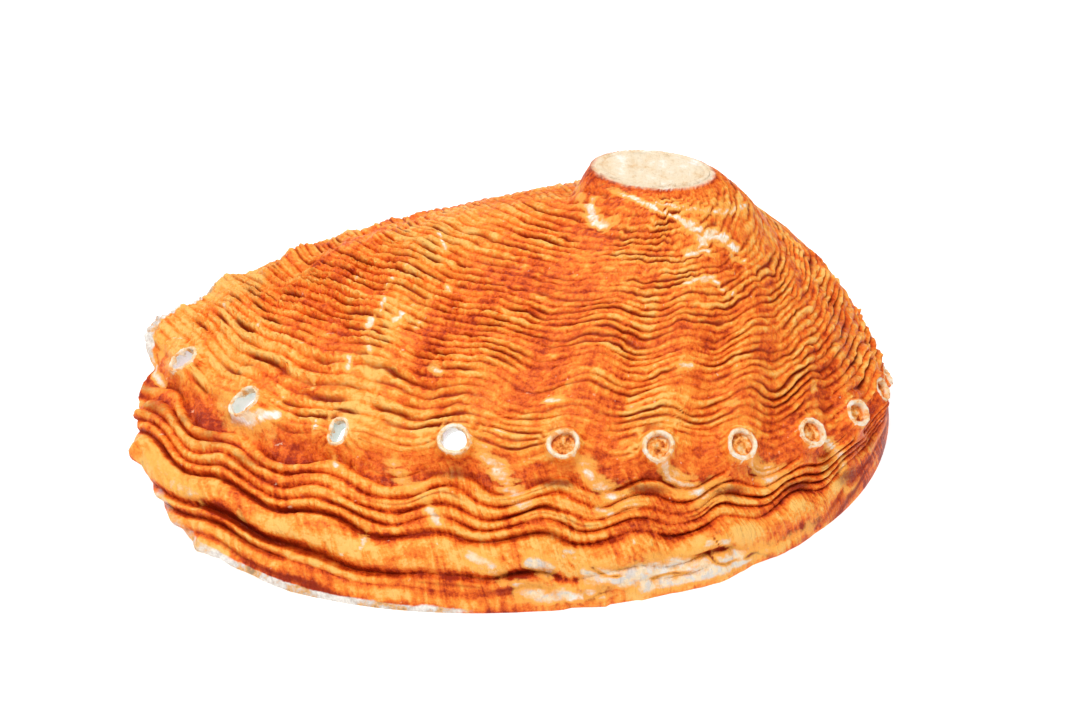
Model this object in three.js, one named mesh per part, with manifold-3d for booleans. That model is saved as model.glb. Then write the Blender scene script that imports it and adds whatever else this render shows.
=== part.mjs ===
// An abalone shell: one domed, ear-shaped shell with a worn spire and a row of eleven breathing holes.
// Millimetres, +Z up. +X is the back (spire) end, -X the front (growing) end, -Y the side with the holes.
// The shell rests mouth down. The origin is below the middle of its margin, on the resting plane.
import * as THREE from "three";
import { mergeVertices } from "three/addons/utils/BufferGeometryUtils.js";
import Module from "manifold-3d";

// Driving dimensions
const LENGTH = 110;
const WIDTH = 75;
const DOME_HEIGHT = 32.7;
const WALL = 2.0;
const SPIRE_HEIGHT = 34.3; // the worn spire's flat top
const HOLE_RADIUS = 1.65; // bore of a full-grown breathing hole
const TUBE_HEIGHT = 2.0; // how far a hole's tube stands out of the shell

// The middle of the margin, which is not quite below the middle of the whole shell.
const MIDDLE = { x: -0.61, y: -0.06 };

// The pole is the dome's highest point. Every direction is an angle round it, seen from above:
// 0 is the back end, 90 the side with the holes, 180 the front end and 270 the far side.
const POLE = { x: MIDDLE.x + 0.192 * LENGTH, y: MIDDLE.y + 0.226 * WIDTH };

// Margin: a superellipse, blunter towards the front end and skewed a little.
const MARGIN = { turn: rad(4.4), power: 2.2, frontPower: 2.47, skew: 0.074 };
// How far the margin arches off the resting plane at its two ends, round the direction given.
const FRONT_ARCH = { height: 7.0, at: rad(196), sharpness: 4 };
const BACK_ARCH = { height: 2.0, at: rad(350), sharpness: 4 };
// The margin's notch, where the next hole is forming.
const NOTCH = { at: rad(183), depth: 2.0, halfWidth: rad(2.6) };

// The dome's profile in each direction is a superellipse, with these powers at 0, 90, 180 and 270 degrees.
const OUT_POWERS = [1.5, 1.5, 1.05, 2.0];
const UP_POWERS = [1.55, 1.6, 1.22, 1.6];

// Worn spire: a flat oval, placed from the pole, on a hump. The hump reaches out to the oval's own radius times
// its skirt, which is wide on the near side and short towards the front.
const SPIRE = { x: -1.3, y: 1.5, halfLength: 9.1, halfWidth: 4.4, turn: rad(-9) };
const SPIRE_SKIRTS = [1.9, 3.2, 1.45, 1.7];

// The spiral that the holes follow, as distance from the pole at each angle in degrees. It comes out of the spire,
// round the far side as the seam between the whorls, then along the near side as the row of holes to the notch.
const SPIRAL = [
  [-270, 7], [-180, 9], [-90, 14.5], [-45, 21.5], [0, 32], [45, 37], [90, 39.2],
  [110, 41.6], [130, 48], [160, 65], [184, 77], [220, 95], [270, 125],
];

// Breathing holes, oldest first: direction in degrees, size as a share of the full-grown hole, and whether it is open.
const HOLES = [
  { at: 19, size: 0.65, open: false },
  { at: 29.5, size: 0.8, open: false },
  { at: 44.5, size: 0.85, open: false },
  { at: 59, size: 0.93, open: false },
  { at: 75.5, size: 1, open: false },
  { at: 92.5, size: 1, open: false },
  { at: 110.5, size: 1, open: false },
  { at: 128.5, size: 1.05, open: true },
  { at: 145, size: 0.8, open: true },
  { at: 158.5, size: 1.15, open: true },
  { at: 170.5, size: 1, open: true },
];

// Relief along the spiral: the keel that carries the holes, the channel below it, and the seam on the far side.
const KEEL = { height: 1.2, halfWidth: 2.6 };
const CHANNEL = { depth: 1.0, offset: 5.0, halfWidth: 2.4 };
const SEAM = { depth: 1.1, halfWidth: 1.6 };

// Lip: the flat land that rests on the table, and the pearly shelf inside it on the near side.
const LAND = 1.2;
const SHELF = { width: 5.0, rise: 1.4, at: rad(85), edge: 0.5 };

// Mesh: columns round the margin, rows from the pole to the margin outside, and rows inside.
const COLUMNS = 76;
const SPIRE_ROWS = 2; // rings between the spire's edge and its skirt's
const OUTER_ROWS = 14;
const INNER_ROWS = 8;
const TUBE_SIDES = 12;

function rad(degrees) {
  return (degrees * Math.PI) / 180;
}

function ease(x) {
  const t = Math.min(1, Math.max(0, x));
  return t * t * (3 - 2 * t);
}

function lerp(a, b, part) {
  return a + (b - a) * part;
}

function bell(distance, halfWidth) {
  return Math.exp(-((distance / halfWidth) ** 2));
}

// A smooth loop through four values, at 0, 90, 180 and 270 degrees.
function around(phi, [at0, at90, at180, at270]) {
  const mean = (at0 + at90 + at180 + at270) / 4;
  const second = (at0 + at180 - at90 - at270) / 4;
  return (
    mean +
    ((at0 - at180) / 2) * Math.cos(phi) +
    ((at90 - at270) / 2) * Math.sin(phi) +
    second * Math.cos(2 * phi)
  );
}

// Distance of the spiral from the pole at an unwrapped angle in degrees, by a Catmull-Rom curve through its points.
function spiral(degrees) {
  const last = SPIRAL.length - 2;
  let i = SPIRAL.findIndex(([angle]) => angle > degrees) - 1;
  i = i < 0 ? (degrees < SPIRAL[0][0] ? 0 : last) : i;
  const at = (n) => SPIRAL[Math.min(last + 1, Math.max(0, n))];
  const [x1, y1] = at(i);
  const [x2, y2] = at(i + 1);
  const slope = (a, b) => (b[0] === a[0] ? 0 : (b[1] - a[1]) / (b[0] - a[0]));
  const m1 = slope(at(i - 1), at(i + 1));
  const m2 = slope(at(i), at(i + 2));
  const h = x2 - x1;
  const t = Math.min(1, Math.max(0, (degrees - x1) / h));
  return (
    y1 * (1 + 2 * t) * (1 - t) ** 2 + m1 * h * t * (1 - t) ** 2 +
    y2 * t * t * (3 - 2 * t) + m2 * h * t * t * (t - 1)
  );
}

function insideMargin(worldX, worldY) {
  const x = worldX - MIDDLE.x;
  const y = worldY - MIDDLE.y;
  const u = (x * Math.cos(MARGIN.turn) + y * Math.sin(MARGIN.turn)) / (LENGTH / 2);
  const v0 = (-x * Math.sin(MARGIN.turn) + y * Math.cos(MARGIN.turn)) / (WIDTH / 2);
  const v = v0 - MARGIN.skew * u * u;
  const front = Math.min(1, Math.max(0, -u));
  const power = MARGIN.power + (MARGIN.frontPower - MARGIN.power) * front;
  return Math.abs(u) ** power + Math.abs(v) ** power < 1;
}

// Distance from the pole to the margin in a direction.
function marginDistance(phi) {
  let low = 0;
  let high = 2 * LENGTH;
  for (let i = 0; i < 40; i++) {
    const mid = (low + high) / 2;
    if (insideMargin(POLE.x + mid * Math.cos(phi), POLE.y - mid * Math.sin(phi))) low = mid;
    else high = mid;
  }
  return low - NOTCH.depth * bell(phi - NOTCH.at, NOTCH.halfWidth);
}

// Height of the margin above the resting plane.
function marginHeight(phi) {
  const arch = ({ height, at, sharpness }) =>
    height * Math.max(0, Math.cos(phi - at)) ** sharpness;
  const lift = arch(FRONT_ARCH) + arch(BACK_ARCH);
  return Math.max(0, lift - 0.3);
}

// How far out a place lies from the spire's middle: 1 on the edge of the flat oval. x and y are from the pole.
function spireRadius(x, y) {
  const dx = x - SPIRE.x;
  const dy = y - SPIRE.y;
  const along = (dx * Math.cos(SPIRE.turn) + dy * Math.sin(SPIRE.turn)) / SPIRE.halfLength;
  const across = (-dx * Math.sin(SPIRE.turn) + dy * Math.cos(SPIRE.turn)) / SPIRE.halfWidth;
  return Math.hypot(along, across);
}

// Share of the hump at a place: 1 on the flat oval, 0 past the skirt.
function humpShare(x, y) {
  const skirt = around(Math.atan2(SPIRE.y - y, x - SPIRE.x), SPIRE_SKIRTS);
  return ease((skirt - spireRadius(x, y)) / (skirt - 1));
}

// Distance from the pole to where the spire's radius has the given value.
function spireReach(phi, radius) {
  let low = 0;
  let high = LENGTH / 2;
  for (let i = 0; i < 40; i++) {
    const mid = (low + high) / 2;
    if (spireRadius(mid * Math.cos(phi), -mid * Math.sin(phi)) < radius) low = mid;
    else high = mid;
  }
  return low;
}

// A point of the smooth dome. share is the distance from the pole, as a share of the distance to the margin.
function domePoint(phi, share, withSpire) {
  const reach = marginDistance(phi);
  const base = marginHeight(phi);
  const fall = Math.max(0, 1 - share ** around(phi, OUT_POWERS)) ** (1 / around(phi, UP_POWERS));
  const x = reach * share * Math.cos(phi);
  const y = -reach * share * Math.sin(phi);
  let z = base + (DOME_HEIGHT - base) * fall;
  if (withSpire) z = lerp(z, SPIRE_HEIGHT, humpShare(x, y));
  return new THREE.Vector3(POLE.x + x, POLE.y + y, z);
}

// Outward normal of the dome, from two short steps along it.
function domeNormal(phi, share) {
  const step = 0.004;
  const s = Math.min(1 - 2 * step, Math.max(0.03, share));
  const out = domePoint(phi, s + step, false).sub(domePoint(phi, s - step, false));
  const round = domePoint(phi + step, s, false).sub(domePoint(phi - step, s, false));
  return out.cross(round).normalize().negate();
}

// Relief of the outside along the dome's normal: keel and channel on the near side, seam on the far side.
function relief(phi, share) {
  const degrees = (phi * 180) / Math.PI;
  const distance = share * marginDistance(phi);
  const fade = ease((1 - share) / 0.06);
  const fromRow = distance - spiral(degrees);
  const nearSide = ease((degrees - 5) / 25) * ease((188 - degrees) / 15);
  const keel = KEEL.height * bell(fromRow, KEEL.halfWidth);
  const channel = CHANNEL.depth * bell(fromRow - CHANNEL.offset, CHANNEL.halfWidth);
  const fromSeam = distance - spiral(degrees - 360);
  const farSide = ease((degrees - 175) / 40) * ease((358 - degrees) / 20);
  const seam = SEAM.depth * bell(fromSeam, SEAM.halfWidth);
  return fade * (nearSide * (keel - channel) - farSide * seam);
}

function outerPoint(phi, share) {
  return domePoint(phi, share, true).addScaledVector(domeNormal(phi, share), relief(phi, share));
}

// The lip's inner edge: across the flat land, then up the shelf.
function lipInnerEdge(phi) {
  const shelf = Math.max(0, Math.cos(phi - SHELF.at)) ** 1.5;
  const width = LAND + SHELF.edge + SHELF.width * shelf;
  const inner = (marginDistance(phi) - width) / marginDistance(phi);
  const point = domePoint(phi, inner, false);
  return point.setZ(marginHeight(phi) + 0.3 + SHELF.rise * shelf);
}

// The inside follows the dome one wall thickness in, and swells towards the lip's inner edge.
function innerPoint(phi, share) {
  const swellFrom = 0.8;
  const w = Math.max(0, (share - swellFrom) / (1 - swellFrom)) ** 2;
  const offset = domePoint(phi, share, false).addScaledVector(domeNormal(phi, share), -WALL);
  return offset.lerp(lipInnerEdge(phi), w);
}

// Column directions, evenly spaced along the margin.
function columnAngles(count) {
  const samples = 1440;
  const at = (i) => domePoint((2 * Math.PI * i) / samples, 1, false);
  const lengths = [0];
  for (let i = 1; i <= samples; i++) lengths.push(lengths[i - 1] + at(i).distanceTo(at(i - 1)));
  const angles = [];
  let i = 0;
  for (let c = 0; c < count; c++) {
    const wanted = (lengths[samples] * c) / count;
    while (lengths[i + 1] < wanted) i++;
    const part = (wanted - lengths[i]) / (lengths[i + 1] - lengths[i]);
    angles.push((2 * Math.PI * (i + part)) / samples);
  }
  return angles;
}

// The wall: rings of points from the outside pole, over the lip, to the inside pole.
function wallGeometry() {
  const angles = columnAngles(COLUMNS);
  const edges = angles.map((phi) => spireReach(phi, 1) / marginDistance(phi));
  const skirts = angles.map((phi) => spireReach(phi, around(phi, SPIRE_SKIRTS)) / marginDistance(phi));
  const rings = [angles.map((phi, i) => outerPoint(phi, edges[i] * 0.5))];
  for (let r = 0; r <= SPIRE_ROWS; r++) {
    rings.push(angles.map((phi, i) => outerPoint(phi, lerp(edges[i], skirts[i], r / (SPIRE_ROWS + 1)))));
  }
  for (let r = 0; r <= OUTER_ROWS; r++) {
    const part = Math.sin((Math.PI / 2) * (r / OUTER_ROWS));
    rings.push(angles.map((phi, i) => outerPoint(phi, lerp(skirts[i], 1, part))));
  }
  rings.push(
    angles.map((phi) => domePoint(phi, 1 - LAND / marginDistance(phi), false).setZ(marginHeight(phi))),
  );
  for (let r = INNER_ROWS; r >= 1; r--) {
    const share = Math.sin((Math.PI / 2) * (r / INNER_ROWS));
    rings.push(angles.map((phi) => innerPoint(phi, share)));
  }
  const points = [outerPoint(0, 0), ...rings.flat(), domePoint(0, 0, false).setZ(DOME_HEIGHT - WALL)];
  const last = points.length - 1;
  const at = (ring, column) => 1 + ring * COLUMNS + (column % COLUMNS);
  const faces = [];
  for (let c = 0; c < COLUMNS; c++) {
    faces.push([0, at(0, c + 1), at(0, c)]);
    for (let r = 0; r + 1 < rings.length; r++) {
      faces.push([at(r, c), at(r, c + 1), at(r + 1, c + 1)]);
      faces.push([at(r, c), at(r + 1, c + 1), at(r + 1, c)]);
    }
    faces.push([last, at(rings.length - 1, c), at(rings.length - 1, c + 1)]);
  }
  const geometry = new THREE.BufferGeometry().setFromPoints(points);
  return geometry.setIndex(faces.flat());
}

// A lathe profile stood on the shell at a hole, along the wall's normal there.
function standAtHole(geometry, hole) {
  const phi = rad(hole.at);
  const share = spiral(hole.at) / marginDistance(phi);
  const turn = new THREE.Quaternion().setFromUnitVectors(
    new THREE.Vector3(0, 1, 0),
    domeNormal(phi, share),
  );
  const place = domePoint(phi, share, true);
  const matrix = new THREE.Matrix4().compose(place, turn, new THREE.Vector3(1, 1, 1));
  return geometry.applyMatrix4(matrix);
}

function lathe(profile) {
  return new THREE.LatheGeometry(profile.map(([r, y]) => new THREE.Vector2(r, y)), TUBE_SIDES);
}

// The tube round a hole. A healed one has a floor just inside its rim.
function tubeGeometry(hole) {
  const bore = HOLE_RADIUS * hole.size;
  const rim = bore + 0.65;
  const foot = rim + 1.2;
  const top = KEEL.height * 0.7 + TUBE_HEIGHT * hole.size;
  return standAtHole(
    lathe([[0, -WALL * 0.6], [foot, -WALL * 0.6], [foot, 0.3], [rim + 0.2, top * 0.6],
      [rim, top], [bore, top], [bore, top - 1], [0, top - 1.1]]),
    hole,
  );
}

function boreGeometry(hole) {
  const bore = HOLE_RADIUS * hole.size;
  return standAtHole(lathe([[0, -3 * WALL], [bore, -3 * WALL], [bore, 8], [0, 8]]), hole);
}

const wasm = await Module();
wasm.setup();

function solid(geometry) {
  const bare = geometry.clone();
  bare.deleteAttribute("normal");
  bare.deleteAttribute("uv");
  const merged = mergeVertices(bare, 1e-4);
  return new wasm.Manifold(
    new wasm.Mesh({
      numProp: 3,
      vertProperties: merged.attributes.position.array,
      triVerts: new Uint32Array(merged.index.array),
    }),
  );
}

function geometryOf(manifold) {
  const mesh = manifold.getMesh();
  const geometry = new THREE.BufferGeometry();
  geometry.setAttribute("position", new THREE.BufferAttribute(mesh.vertProperties, 3));
  geometry.setIndex(new THREE.BufferAttribute(mesh.triVerts, 1));
  geometry.computeVertexNormals();
  return geometry;
}

function shellMesh() {
  let shell = solid(wallGeometry());
  for (const hole of HOLES) shell = shell.add(solid(tubeGeometry(hole)));
  for (const hole of HOLES.filter(({ open }) => open)) shell = shell.subtract(solid(boreGeometry(hole)));
  const material = new THREE.MeshStandardMaterial({ color: 0xe8761c, roughness: 0.5, metalness: 0 });
  const mesh = new THREE.Mesh(geometryOf(shell), material);
  mesh.name = "shell";
  return mesh;
}

const abalone = new THREE.Group();
abalone.add(shellMesh());
export default abalone;
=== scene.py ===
"""Abalone shell, mouth down: the finished look of one grown shell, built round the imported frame.

Lengths are in millimetres until the mesh is made. +X is the back (spire) end, -X the front (growing) end
and -Y the side with the breathing holes. Directions are angles round the pole, the dome's highest point,
seen from above: 0 is the back end, 90 the side with the holes, 180 the front end and 270 the far side.
Along each direction a place is given by its step, 0 at the pole and 1 at the margin.
"""

import math

import bpy
import numpy as np
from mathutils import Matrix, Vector


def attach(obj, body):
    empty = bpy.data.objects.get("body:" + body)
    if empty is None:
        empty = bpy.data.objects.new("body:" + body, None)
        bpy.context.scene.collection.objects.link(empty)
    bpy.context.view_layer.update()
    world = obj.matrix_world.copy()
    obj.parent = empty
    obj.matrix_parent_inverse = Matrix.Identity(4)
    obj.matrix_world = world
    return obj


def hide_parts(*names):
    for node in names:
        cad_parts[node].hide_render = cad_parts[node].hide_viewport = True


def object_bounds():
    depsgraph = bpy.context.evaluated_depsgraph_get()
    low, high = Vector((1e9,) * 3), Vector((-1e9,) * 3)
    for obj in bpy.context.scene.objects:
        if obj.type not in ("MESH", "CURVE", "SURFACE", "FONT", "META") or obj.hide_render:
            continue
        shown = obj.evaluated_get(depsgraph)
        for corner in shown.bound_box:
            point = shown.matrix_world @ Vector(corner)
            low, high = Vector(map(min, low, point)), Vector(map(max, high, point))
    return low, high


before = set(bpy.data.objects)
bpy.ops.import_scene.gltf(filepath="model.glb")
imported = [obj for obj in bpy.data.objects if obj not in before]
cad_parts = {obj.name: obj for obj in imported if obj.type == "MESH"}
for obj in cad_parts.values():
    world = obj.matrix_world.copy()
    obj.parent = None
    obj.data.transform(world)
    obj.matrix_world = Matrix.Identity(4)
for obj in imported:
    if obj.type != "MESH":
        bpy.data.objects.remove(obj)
cad_low, cad_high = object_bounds()

MM = 0.001
RADIAN = 57.3  # degrees

# ---- dimensions ----

LENGTH = 110.0
WIDTH = 75.0
DOME_HEIGHT = 32.7
SPIRE_HEIGHT = 34.3
WALL = 2.0
HOLE_RADIUS = 1.65
TUBE_HEIGHT = 2.0

MIDDLE = (-0.61, -0.06)  # of the margin, seen from above
POLE = (MIDDLE[0] + 0.192 * LENGTH, MIDDLE[1] + 0.226 * WIDTH)

# Margin: a superellipse, blunter towards the front, with a notch where the next hole is forming.
MARGIN_TURN = math.radians(4.4)
MARGIN_POWER = 2.2
MARGIN_FRONT_POWER = 2.47
MARGIN_SKEW = 0.074
NOTCH_AT = math.radians(183)
NOTCH_DEPTH = 2.0
NOTCH_HALF_WIDTH = math.radians(2.6)
# The two arches of the margin off the resting plane: height, direction, sharpness.
ARCHES = [(7.0, math.radians(196), 4), (2.0, math.radians(350), 4)]

# Powers of the dome's profile at 0, 90, 180 and 270 degrees.
OUT_POWERS = (1.5, 1.5, 1.05, 2.0)
UP_POWERS = (1.55, 1.6, 1.22, 1.6)

# Worn spire: a flat oval on a hump.
SPIRE_AT = (-1.3, 1.5)
SPIRE_HALF_LENGTH = 9.1
SPIRE_HALF_WIDTH = 4.4
SPIRE_TURN = math.radians(-9)
SPIRE_SKIRTS = (1.9, 3.2, 1.45, 1.7)

# The spiral that carries the holes: its distance from the pole at each unwrapped angle in degrees.
SPIRAL = np.array([
    (-270, 7), (-180, 9), (-90, 14.5), (-45, 21.5), (0, 32), (45, 37), (90, 39.2),
    (110, 41.6), (130, 48), (160, 65), (184, 77), (220, 95), (270, 125),
], float)

# Breathing holes, oldest first: direction in degrees, size, and whether it is open.
HOLES = [
    (19, 0.65, False), (29.5, 0.8, False), (44.5, 0.85, False), (59, 0.93, False), (75.5, 1.0, False),
    (92.5, 1.0, False), (110.5, 1.0, False), (128.5, 1.05, True), (145, 0.8, True), (158.5, 1.15, True),
    (170.5, 1.0, True),
]
HOLE_ANGLES = np.array([at for at, _, _ in HOLES])
# Towards the front the upper cords fan out faster than the row: how much farther out they are, by
# unwrapped angle.
SPREAD = np.array([
    (80, 1.0), (100, 1.0), (120, 0.972), (130, 0.952), (140, 0.925), (150, 0.912), (160, 0.926), (170, 0.977),
    (180, 1.07), (190, 1.19), (200, 1.34), (220, 1.66), (250, 2.1), (300, 2.5), (340, 2.6),
], float)

KEEL_HEIGHT = 1.2
KEEL_HALF_WIDTH = 2.6
CHANNEL_DEPTH = 1.0
CHANNEL_OFFSET = 4.7
CHANNEL_HALF_WIDTH = 2.1
SEAM_DEPTH = 1.1
SEAM_HALF_WIDTH = 1.6

# Lip: flat land under the margin, then the pearly shelf on the near side.
LAND = 1.2
SHELF_WIDTH = 5.0
SHELF_RISE = 1.4
SHELF_AT = math.radians(85)
SHELF_EDGE = 0.5

# Fine spiral cords above the row of holes.
CORDS = 42  # between the pole and the row
CORD_HEIGHT = 0.34
CORD_GROOVE = 0.30
CORD_SPACING = 1.25  # wider cords than this split in two
# Ridges of the band below the row. A place on the band is 0 at the row and 1 at the margin, and at the
# front the ridges run out over the margin. Each pair is a direction and how far the band reaches there, as a
# share of the row's own distance from the pole.
BAND_REACH = np.array([
    (0, 0.02), (19, 0.036), (45, 0.12), (60, 0.19), (75, 0.245), (90, 0.31), (105, 0.38), (120, 0.415),
    (130, 0.42), (138, 0.39), (147, 0.33), (161, 0.28), (190, 0.22),
])
# Grooves between the ridges: place on the band, depth, and the height of the ridge beyond it.
BAND_GROOVES = np.array([
    (0.13, 0.10, 0.00), (0.27, 0.45, 0.60), (0.38, 0.45, 0.60), (0.48, 0.50, 0.55), (0.56, 0.40, 0.50),
    (0.645, 0.70, 1.15), (0.86, 1.35, 0.70), (0.93, 0.75, 0.50), (1.02, 0.5, 0.6), (1.2, 0.5, 0.7),
    (1.45, 0.4, 0.5),
])
# Finer grooves that split the ridges, everywhere but at the front.
BAND_SPLITS = [0.20, 0.325, 0.43, 0.52, 0.60, 0.90]
FOLD_HEIGHT = 0.50
FOLD_SHIFT = 0.70
BEAK_LENGTH = 1.7  # the newest edge juts out above the forming hole
# Rounded knobs at the ends of the ridges on the front margin, a dent before them, and stumps of the oldest
# tubes: direction in degrees, distance in from the margin, height and half width.
KNOBS = [
    (173.4, 0.0, -1.7, 1.5), (169.6, 0.6, 1.0, 0.9), (166.6, 0.6, 1.1, 0.8), (161.6, 0.5, 1.9, 1.4),
    (157.6, 1.6, 0.6, 1.0), (147.5, 0.6, 0.8, 0.8), (10.5, 9.0, 1.3, 1.6), (3.0, 9.5, 0.8, 1.4),
]

# Mesh
COLUMNS = 960
OUTER_ROWS = 430
INNER_ROWS = 110
MOST_TRIANGLES = 188000
DEEPEST_CUT = 1.4  # of the relief into the dome
EXTRA_CUT = 0.6  # more of it at the margin, where the lip makes the shell thick
SHARP_ANGLE = math.radians(50)  # steeper edges, such as the shelf's, are not smoothed over

# ---- small helpers ----


def ease(x):
    t = np.clip(x, 0, 1)
    return t * t * (3 - 2 * t)


def bell(distance, half_width):
    return np.exp(-((distance / half_width) ** 2))


def span(x, start, rise, end, fall):
    """1 over a stretch of x, eased in from its start and out to its end."""
    return ease((x - start) / rise) * ease((end - x) / fall)


def mix(a, b, part):
    return a + (b - a) * part


def around(phi, values):
    """A smooth loop through four values, at 0, 90, 180 and 270 degrees."""
    at0, at90, at180, at270 = values
    second = (at0 + at180 - at90 - at270) / 4
    return (
        sum(values) / 4 + (at0 - at180) / 2 * np.cos(phi) + (at90 - at270) / 2 * np.sin(phi)
        + second * np.cos(2 * phi)
    )


def lattice(i, j, seed):
    """A fixed pseudo-random number from 0 to 1 for each whole-number pair."""
    n = (i.astype(np.int64) * 374761393 + j.astype(np.int64) * 668265263 + seed * 974634777) & 0xFFFFFFFF
    n = ((n ^ (n >> 13)) * 1274126177) & 0xFFFFFFFF
    n = (n ^ (n >> 16)) & 0xFFFFFF
    return n / float(0xFFFFFF)


def noise(x, y, seed):
    """Smooth noise from -1 to 1 over a plane."""
    x, y = np.broadcast_arrays(np.asarray(x, float), np.asarray(y, float))
    i, j = np.floor(x), np.floor(y)
    u, v = ease(x - i), ease(y - j)
    low = mix(lattice(i, j, seed), lattice(i + 1, j, seed), u)
    high = mix(lattice(i, j + 1, seed), lattice(i + 1, j + 1, seed), u)
    return 2 * mix(low, high, v) - 1


def curve(points, x):
    """A Catmull-Rom curve through the points of a table, level beyond its ends."""
    places, values = points[:, 0], points[:, 1]
    slopes = np.gradient(values) / np.gradient(places)
    i = np.clip(np.searchsorted(places, x, side="right") - 1, 0, len(places) - 2)
    h = places[i + 1] - places[i]
    t = np.clip((x - places[i]) / h, 0, 1)
    return (
        values[i] * (1 + 2 * t) * (1 - t) ** 2 + slopes[i] * h * t * (1 - t) ** 2
        + values[i + 1] * t * t * (3 - 2 * t) + slopes[i + 1] * h * t * t * (t - 1)
    )


def spiral(degrees):
    """Distance of the spiral from the pole."""
    return curve(SPIRAL, degrees)


def row_distance(at):
    """Distance of one hole from the pole."""
    return float(spiral(np.array(float(at))))


def near_side(degrees):
    """1 along the side with the holes."""
    return span(degrees, 5, 25, 188, 15)


# ---- base form ----


def inside_margin(x, y):
    dx, dy = x - MIDDLE[0], y - MIDDLE[1]
    u = (dx * math.cos(MARGIN_TURN) + dy * math.sin(MARGIN_TURN)) / (LENGTH / 2)
    v = (-dx * math.sin(MARGIN_TURN) + dy * math.cos(MARGIN_TURN)) / (WIDTH / 2) - MARGIN_SKEW * u * u
    power = MARGIN_POWER + (MARGIN_FRONT_POWER - MARGIN_POWER) * np.clip(-u, 0, 1)
    return np.abs(u) ** power + np.abs(v) ** power < 1


def margin_table(count=7200):
    """Distance from the pole to the margin, in every direction."""
    phi = np.linspace(0, 2 * math.pi, count + 1)
    low, high = np.zeros_like(phi), np.full_like(phi, 2 * LENGTH)
    for _ in range(40):
        mid = (low + high) / 2
        inside = inside_margin(POLE[0] + mid * np.cos(phi), POLE[1] - mid * np.sin(phi))
        low, high = np.where(inside, mid, low), np.where(inside, high, mid)
    return phi, low - NOTCH_DEPTH * bell(phi - NOTCH_AT, NOTCH_HALF_WIDTH)


MARGIN_PHI, MARGIN_DISTANCE = margin_table()


def margin_distance(phi):
    return np.interp(np.mod(phi, 2 * math.pi), MARGIN_PHI, MARGIN_DISTANCE)


def margin_height(phi):
    lift = sum(height * np.clip(np.cos(phi - at), 0, 1) ** sharp for height, at, sharp in ARCHES)
    return np.maximum(0, lift - 0.3)


def spire_radius(x, y):
    """How far out a place lies from the spire's middle: 1 on the edge of the flat oval."""
    dx, dy = x - SPIRE_AT[0], y - SPIRE_AT[1]
    along = (dx * math.cos(SPIRE_TURN) + dy * math.sin(SPIRE_TURN)) / SPIRE_HALF_LENGTH
    across = (-dx * math.sin(SPIRE_TURN) + dy * math.cos(SPIRE_TURN)) / SPIRE_HALF_WIDTH
    return np.hypot(along, across)


def hump_share(x, y):
    skirt = around(np.arctan2(SPIRE_AT[1] - y, x - SPIRE_AT[0]), SPIRE_SKIRTS)
    return ease((skirt - spire_radius(x, y)) / (skirt - 1))


def share_of(step):
    """The step is a smoother measure than the plain share of the distance to the margin."""
    return np.sin(np.clip(step, 0, 1) * math.pi / 2)


def dome_profile(phi, share):
    """Height of the dome, 1 at the pole and 0 at the margin."""
    return np.clip(1 - share ** around(phi, OUT_POWERS), 0, 1) ** (1 / around(phi, UP_POWERS))


def dome(phi, step, with_spire):
    share = share_of(step)
    reach, base = margin_distance(phi), margin_height(phi)
    fall = dome_profile(phi, share)
    x, y = reach * share * np.cos(phi), -reach * share * np.sin(phi)
    z = base + (DOME_HEIGHT - base) * fall
    if with_spire:
        z = mix(z, SPIRE_HEIGHT, hump_share(x, y))
    return np.stack([POLE[0] + x, POLE[1] + y, z], -1)


def dome_frame(phi, step):
    """The dome's outward normal, and how much longer the surface is than its plan along the step."""
    small = 0.006
    s = np.clip(step, 0.02, 1 - 1.5 * small)
    out = dome(phi, s + small, False) - dome(phi, s - small, False)
    turn = dome(phi + small, s, False) - dome(phi - small, s, False)
    normal = np.cross(turn, out)
    normal /= np.linalg.norm(normal, axis=-1, keepdims=True)
    stretch = np.linalg.norm(out, axis=-1) / np.maximum(np.hypot(out[..., 0], out[..., 1]), 1e-6)
    return normal, np.clip(stretch, 1, 5)


# ---- relief ----

# What every point carries for the materials: cord number, place along the cord in degrees, growth line in
# degrees, crest (for a painted highlight on the tops), groove (painted shade in the grooves, under the tubes
# and in the hollow below the open holes), broad tone (with painted highlight and shade on the band's ridges),
# cream, spire, tube rim, healed floor, lip edge.
TRAITS = ["phase", "along", "growth", "crest", "groove", "tone", "cream", "spire", "rim", "floor", "edge"]
CREST, GROOVE_SHADE, TONE, CREAM_MARK, SPIRE, RIM, FLOOR = range(3, 10)

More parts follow.
